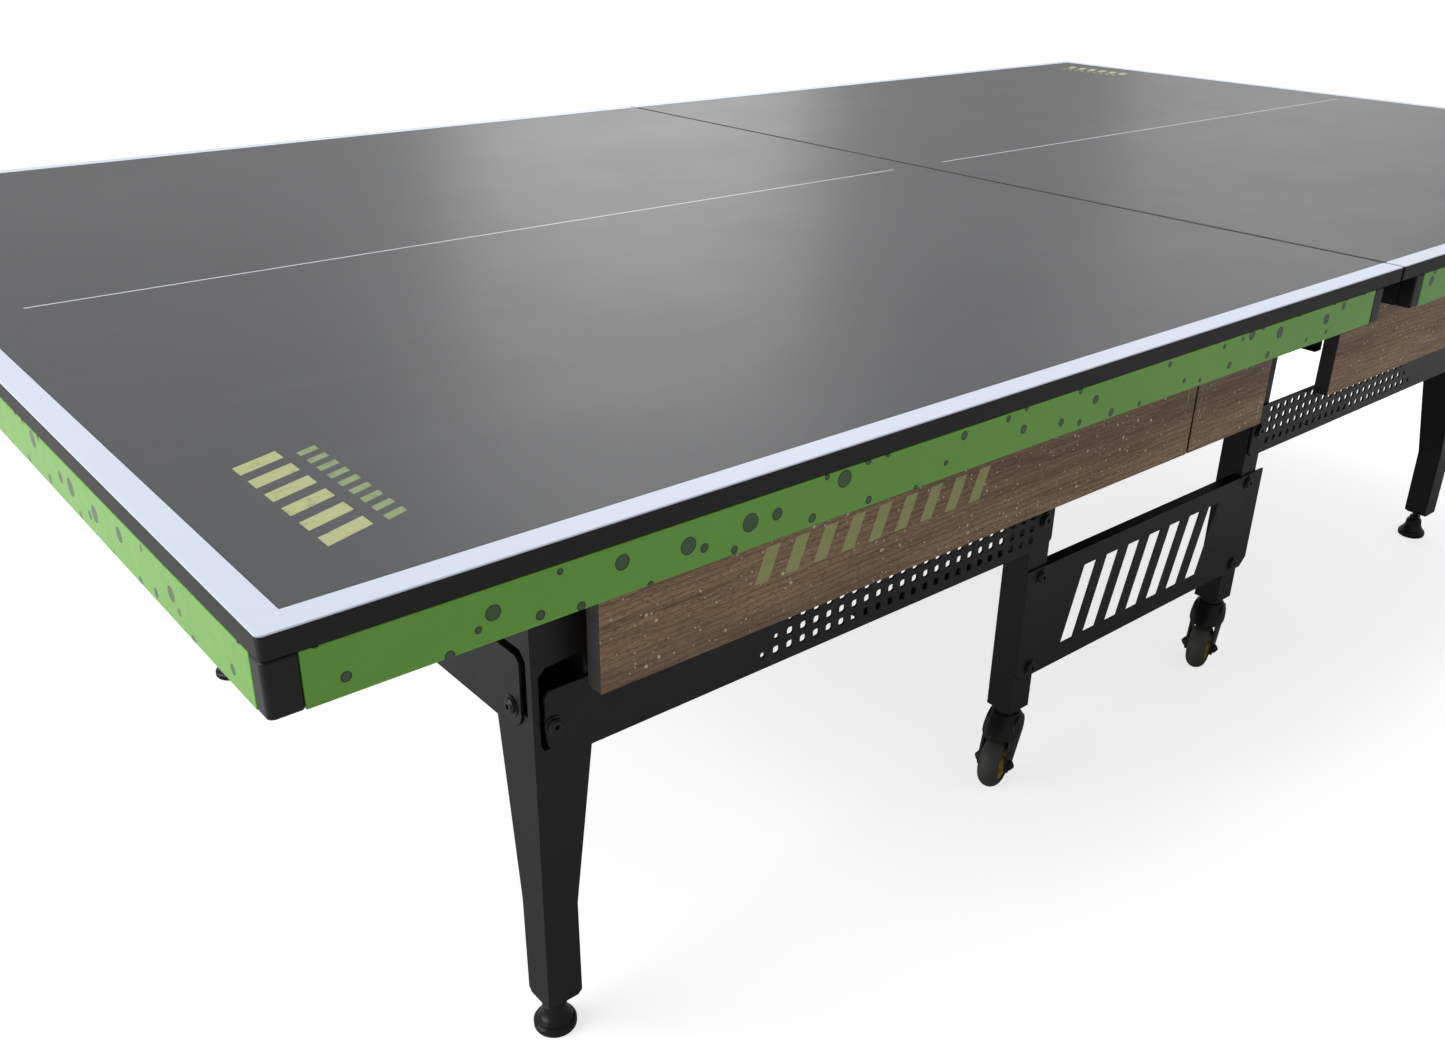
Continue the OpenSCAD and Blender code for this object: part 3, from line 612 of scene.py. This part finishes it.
def add_foot_nut(half, side):
    """Hexagonal lock nut on the levelling foot's stud, under the leg's plate."""
    name = "%s_%s" % (half, side)
    low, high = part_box("foot_" + name)
    place = Matrix.Translation(((low.x + high.x) / 2, (low.y + high.y) / 2, 0))
    # Half the width across the flats and the height, in mm.
    levels = ((8.6, 36.2), (9.6, 36.9), (9.6, 42.4), (8.6, 43.1), (5.5, 43.2))
    turns = [math.tau * k / 24 for k in range(24)]
    rings = []
    for flat, z in levels:
        reach = [flat * math.cos(math.pi / 6) / math.cos(t % (math.pi / 3) - math.pi / 6)
                 for t in turns]
        rings.append([(r * math.cos(t) * MM, r * math.sin(t) * MM, z * MM)
                      for r, t in zip(reach, turns)])
    shape = bmesh.new()
    loft(shape, rings, place)
    add_piece("foot_nut_" + name, shape, BOLT_BLACK, "foot_" + name)


for half in HALVES:
    add_angles(half)
    add_hanger_screws(half)
    for side in SIDES:
        add_caster_hood(half, side)
        add_foot_nut(half, side)
add_post_trim()

# ------------------------------------------------------------------ stage


def make_floor():
    """A pale floor that the camera sees as white around the table's shadow."""
    size = 60
    mesh = bpy.data.meshes.new("floor")
    mesh.from_pydata([(-size, -size, 0), (size, -size, 0), (size, size, 0), (-size, size, 0)],
                     [], [(0, 1, 2, 3)])
    floor = bpy.data.objects.new("floor", mesh)
    bpy.context.scene.collection.objects.link(floor)
    n = Nodes("pale_floor")
    seen = n.node("LightPath", "Is Camera Ray")
    n.set(Base_Color=grey(0.68), Roughness=0.9, Specular_IOR_Level=0.05,
          Emission_Color=grey(1), Emission_Strength=n.math("MULTIPLY", seen, 0.7))
    mesh.materials.append(n.material)


def area_light(name, at, aim, power, size, size_y):
    """A softbox that the camera doesn't see: power in watts, sizes in metres."""
    data = bpy.data.lights.new(name, "AREA")
    data.shape, data.energy, data.size, data.size_y = "RECTANGLE", power, size, size_y
    light = bpy.data.objects.new(name, data)
    light.location = at
    light.rotation_euler = (Vector(aim) - Vector(at)).to_track_quat("-Z", "Y").to_euler()
    light.visible_camera = False
    bpy.context.scene.collection.objects.link(light)


def make_world():
    """White to look at, and a dimmer studio room as light: darkest on the -Y side."""
    world = bpy.data.worlds.new("studio")
    bpy.context.scene.world = world
    world.use_nodes = True
    tree = world.node_tree

    def add(kind, inputs, **props):
        node = tree.nodes.new("ShaderNode" + kind)
        for key, value in props.items():
            setattr(node, key, value)
        for key, value in inputs.items():
            if isinstance(value, bpy.types.NodeSocket):
                tree.links.new(value, node.inputs[key])
            else:
                node.inputs[key].default_value = value
        return node

    dimmest, brightest = 0.36, 0.6
    toward = add("SeparateXYZ", {0: add("TexCoord", {}).outputs["Generated"]})
    room = add("MapRange", {0: toward.outputs[1], 1: -0.6, 2: 0.7, 3: dimmest, 4: brightest},
               interpolation_type="SMOOTHSTEP")
    seen = add("LightPath", {}).outputs["Is Camera Ray"]
    power = add("Mix", {0: seen, 2: room.outputs[0], 3: 1.0})
    background = tree.nodes["Background"]
    background.inputs[0].default_value = grey(1)
    tree.links.new(power.outputs[0], background.inputs[1])


make_floor()
make_world()
area_light("left_softbox", (-4.4, 0.8, 1.7), (-0.4, 0, 0.5), 122, 3.4, 2.6)
area_light("overhead_softbox", (0.4, 0.4, 4.4), (0, 0, 0.7), 120, 4.2, 3.0)
area_light("back_strip", (2.6, 4.3, 2.6), (-0.7, -0.3, 0.76), 30, 1.9, 2.8)
area_light("right_strip", (4.9, 1.9, 2.2), (-0.1, -0.3, 0.76), 12, 1.8, 2.4)
